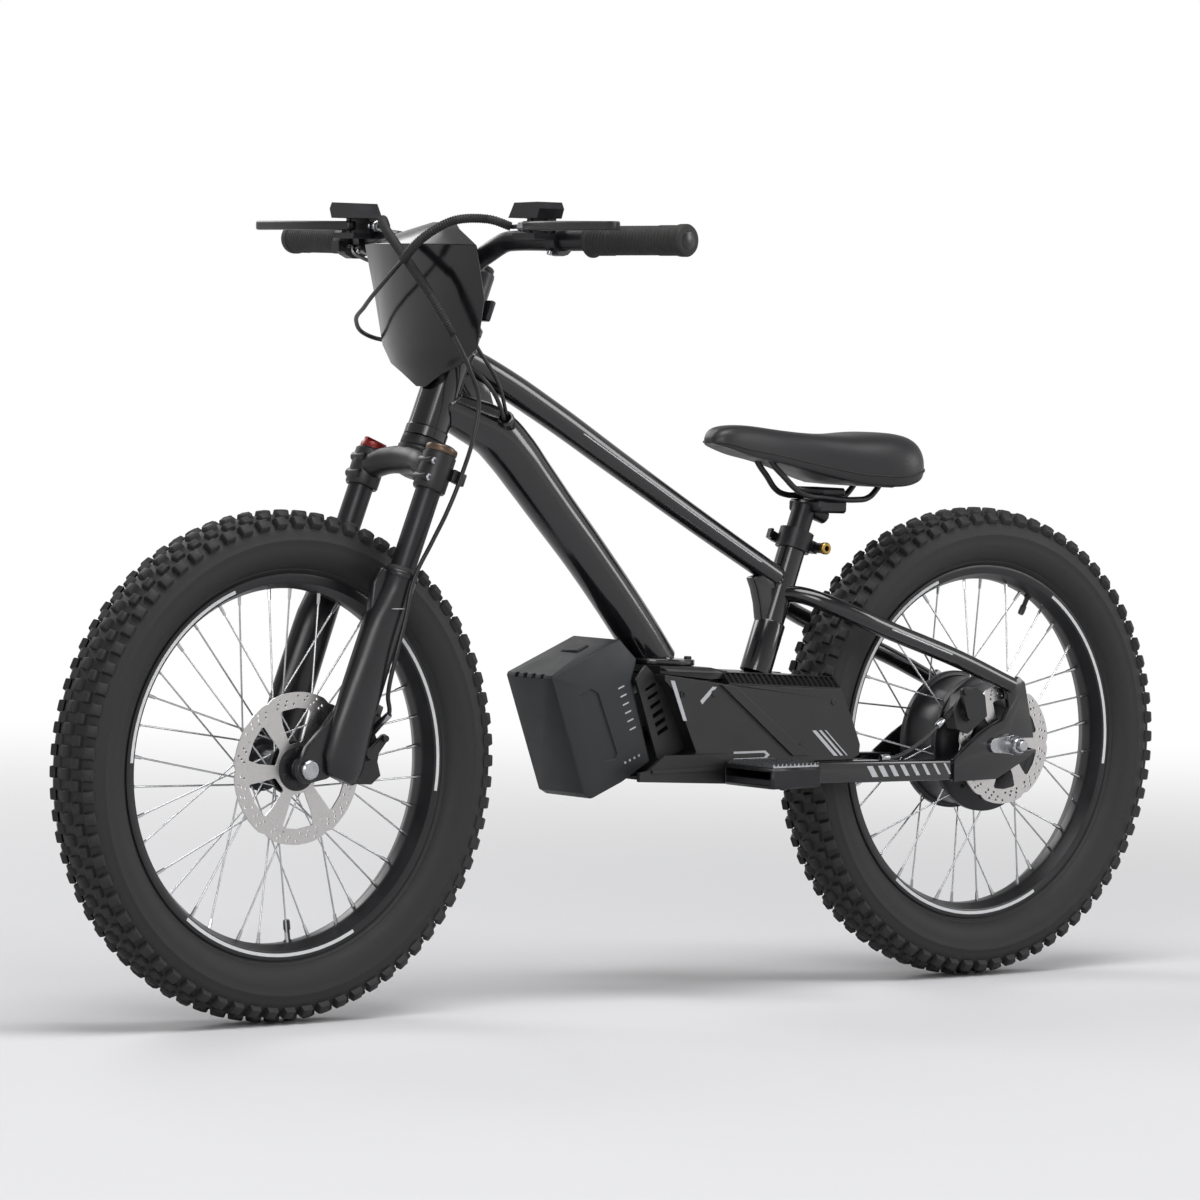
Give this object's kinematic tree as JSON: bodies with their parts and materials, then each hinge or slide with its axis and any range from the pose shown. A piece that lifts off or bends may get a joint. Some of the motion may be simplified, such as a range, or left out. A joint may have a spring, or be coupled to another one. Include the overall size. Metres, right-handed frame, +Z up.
{
  "type": "kids electric bike",
  "caption": "Child's electric bike with knobby wheels, suspension fork, disc brakes, rear hub motor, twist throttle and a battery that slides off its dock.",
  "frame": {"origin": "on the ground, midway between the wheels' contacts, in the bike's middle plane", "axes": "+X forward along the bike, +Y to the rider's left, +Z up"},
  "size_m": [1.5652, 0.7164, 0.8923],
  "materials": {
    "frame_paint": "gloss black paint",
    "fork_paint": "gloss black paint on cast alloy",
    "anodised_black": "satin black anodised alloy",
    "satin_steel": "satin black coated steel",
    "moulded_plastic": "fine-grained moulded black plastic",
    "case_plastic": "satin black moulded case",
    "case_paint": "gloss black moulded covers",
    "battery_case": "dark grey fine-grained case",
    "plate_plastic": "gloss black moulded plate",
    "saddle_vinyl": "dark grey satin vinyl",
    "grip_rubber": "ribbed black rubber",
    "lever_metal": "satin black coated alloy",
    "caliper_metal": "satin black cast alloy",
    "bright_steel": "zinc-plated steel",
    "rotor_steel": "ground stainless steel",
    "cable_housing": "black cable housing",
    "red_plastic": "red knob",
    "tyre_rubber": "black knobby rubber",
    "rim_black": "satin black rim",
    "hub_and_spokes": "black hub shell with bright spokes",
    "motor_and_spokes": "black motor shell with bright spokes"
  },
  "bodies": {
    "frame": {"main_frame": "frame_paint", "rear_stay_left": "frame_paint", "rear_stay_right": "frame_paint", "headset_lower_cup": "anodised_black", "headset_upper_cup": "anodised_black", "seat_clamp": "anodised_black", "case_body": "case_plastic", "case_cover_left": "case_paint", "case_cover_right": "case_paint", "case_lid": "case_plastic", "cradle": "satin_steel", "footrest_left": "satin_steel", "footrest_right": "satin_steel", "footrest_tread_left": "moulded_plastic", "footrest_tread_right": "moulded_plastic", "battery_dock": "moulded_plastic", "rear_axle": "bright_steel", "axle_nut_left": "bright_steel", "axle_nut_right": "bright_steel", "rear_caliper": "caliper_metal", "rear_brake_cable_end": "cable_housing"},
    "steering": {"fork_crown": "fork_paint", "stanchion_left": "anodised_black", "stanchion_right": "anodised_black", "stem": "anodised_black", "stem_faceplate": "anodised_black", "handlebar": "anodised_black", "left_grip": "grip_rubber", "throttle_housing": "moulded_plastic", "brake_perch_left": "moulded_plastic", "brake_perch_right": "moulded_plastic", "number_plate": "plate_plastic", "front_brake_cable": "cable_housing", "rear_brake_cable": "cable_housing", "throttle_wire": "cable_housing"},
    "lockout": {"lockout_knob": "red_plastic"},
    "throttle": {"throttle_grip": "grip_rubber"},
    "left_lever": {"brake_lever_left": "lever_metal"},
    "right_lever": {"brake_lever_right": "lever_metal"},
    "fork": {"fork_lowers": "fork_paint", "front_axle": "bright_steel", "front_caliper": "caliper_metal"},
    "front_arm": {"front_caliper_arm": "caliper_metal"},
    "rear_arm": {"rear_caliper_arm": "caliper_metal"},
    "front_wheel": {"front_tyre": "tyre_rubber", "front_rim": "rim_black", "front_hub_and_spokes": "hub_and_spokes", "front_rotor": "rotor_steel"},
    "rear_wheel": {"rear_tyre": "tyre_rubber", "rear_rim": "rim_black", "hub_motor_and_spokes": "motor_and_spokes", "rear_rotor": "rotor_steel"},
    "seat": {"seat_post": "anodised_black", "saddle_clamp": "satin_steel", "saddle_rails": "satin_steel", "saddle_base": "moulded_plastic", "saddle_cushion": "saddle_vinyl"},
    "seat_lever": {"seat_clamp_lever": "anodised_black"},
    "battery": {"battery_pack": "battery_case"},
    "release_button": {"battery_release_button": "moulded_plastic"}
  },
  "joints": [
    {"name": "steering_turn", "type": "hinge", "parent": "frame", "child": "steering", "pos_m": [0.31358, 0, 0.63075], "axis": [-0.3616, 0, 0.9323], "range_deg": [-60, 60], "deforming": ["front_brake_cable", "rear_brake_cable", "throttle_wire"]},
    {"name": "fork_travel", "type": "slide", "parent": "steering", "child": "fork", "axis": [-0.3616, 0, 0.9323], "range_m": [0, 0.05], "stiffness_N_per_m": 6000, "springref_m": -0.05, "deforming": ["front_brake_cable"]},
    {"name": "front_wheel_spin", "type": "hinge", "parent": "fork", "child": "front_wheel", "pos_m": [0.505, 0, 0.278], "axis": [0, 1, 0], "continuous": true},
    {"name": "rear_wheel_spin", "type": "hinge", "parent": "frame", "child": "rear_wheel", "pos_m": [-0.505, 0, 0.278], "axis": [0, 1, 0], "continuous": true},
    {"name": "lockout_turn", "type": "hinge", "parent": "steering", "child": "lockout", "pos_m": [0.33785, -0.0615, 0.61657], "axis": [0.3616, 0, -0.9323], "range_deg": [0, 90]},
    {"name": "throttle_twist", "type": "hinge", "parent": "steering", "child": "throttle", "pos_m": [0.23894, -0.35, 0.85242], "axis": [-0.1564, -0.9876, 0.0099], "range_deg": [0, 65], "stiffness_Nm_per_rad": 0.3, "springref_deg": -17.19},
    {"name": "left_lever_pull", "type": "hinge", "parent": "steering", "child": "left_lever", "pos_m": [0.30113, 0.164, 0.86564], "axis": [0, 0, 1], "range_deg": [0, 16], "stiffness_Nm_per_rad": 0.5, "springref_deg": -17.19},
    {"name": "right_lever_pull", "type": "hinge", "parent": "steering", "child": "right_lever", "pos_m": [0.30113, -0.164, 0.86564], "axis": [0, 0, -1], "range_deg": [0, 16], "stiffness_Nm_per_rad": 0.5, "springref_deg": -17.19},
    {"name": "front_arm_pull", "type": "hinge", "parent": "fork", "child": "front_arm", "pos_m": [0.41663, 0.0533, 0.29317], "axis": [0, 1, 0], "range_deg": [0, 20]},
    {"name": "rear_arm_pull", "type": "hinge", "parent": "frame", "child": "rear_arm", "pos_m": [-0.441, 0.0736, 0.316], "axis": [0, 1, 0], "range_deg": [0, 20]},
    {"name": "saddle_height", "type": "slide", "parent": "frame", "child": "seat", "axis": [-0.3412, 0, 0.94], "range_m": [0, 0.06]},
    {"name": "seat_lever_swing", "type": "hinge", "parent": "frame", "child": "seat_lever", "pos_m": [-0.24926, -0.02, 0.50884], "axis": [0.3412, 0, -0.94], "range_deg": [0, 120]},
    {"name": "battery_lift", "type": "slide", "parent": "frame", "child": "battery", "axis": [0.9342, 0, -0.3567], "range_m": [0, 0.065]},
    {"name": "battery_button_press", "type": "slide", "parent": "battery", "child": "release_button", "axis": [-0.3567, 0, -0.9342], "range_m": [0, 0.0025], "stiffness_N_per_m": 400, "springref_m": -0.002}
  ],
  "couplings": [
    {"joint": "front_arm_pull", "follows": "right_lever_pull", "ratio": 0.8},
    {"joint": "rear_arm_pull", "follows": "left_lever_pull", "ratio": 1}
  ]
}
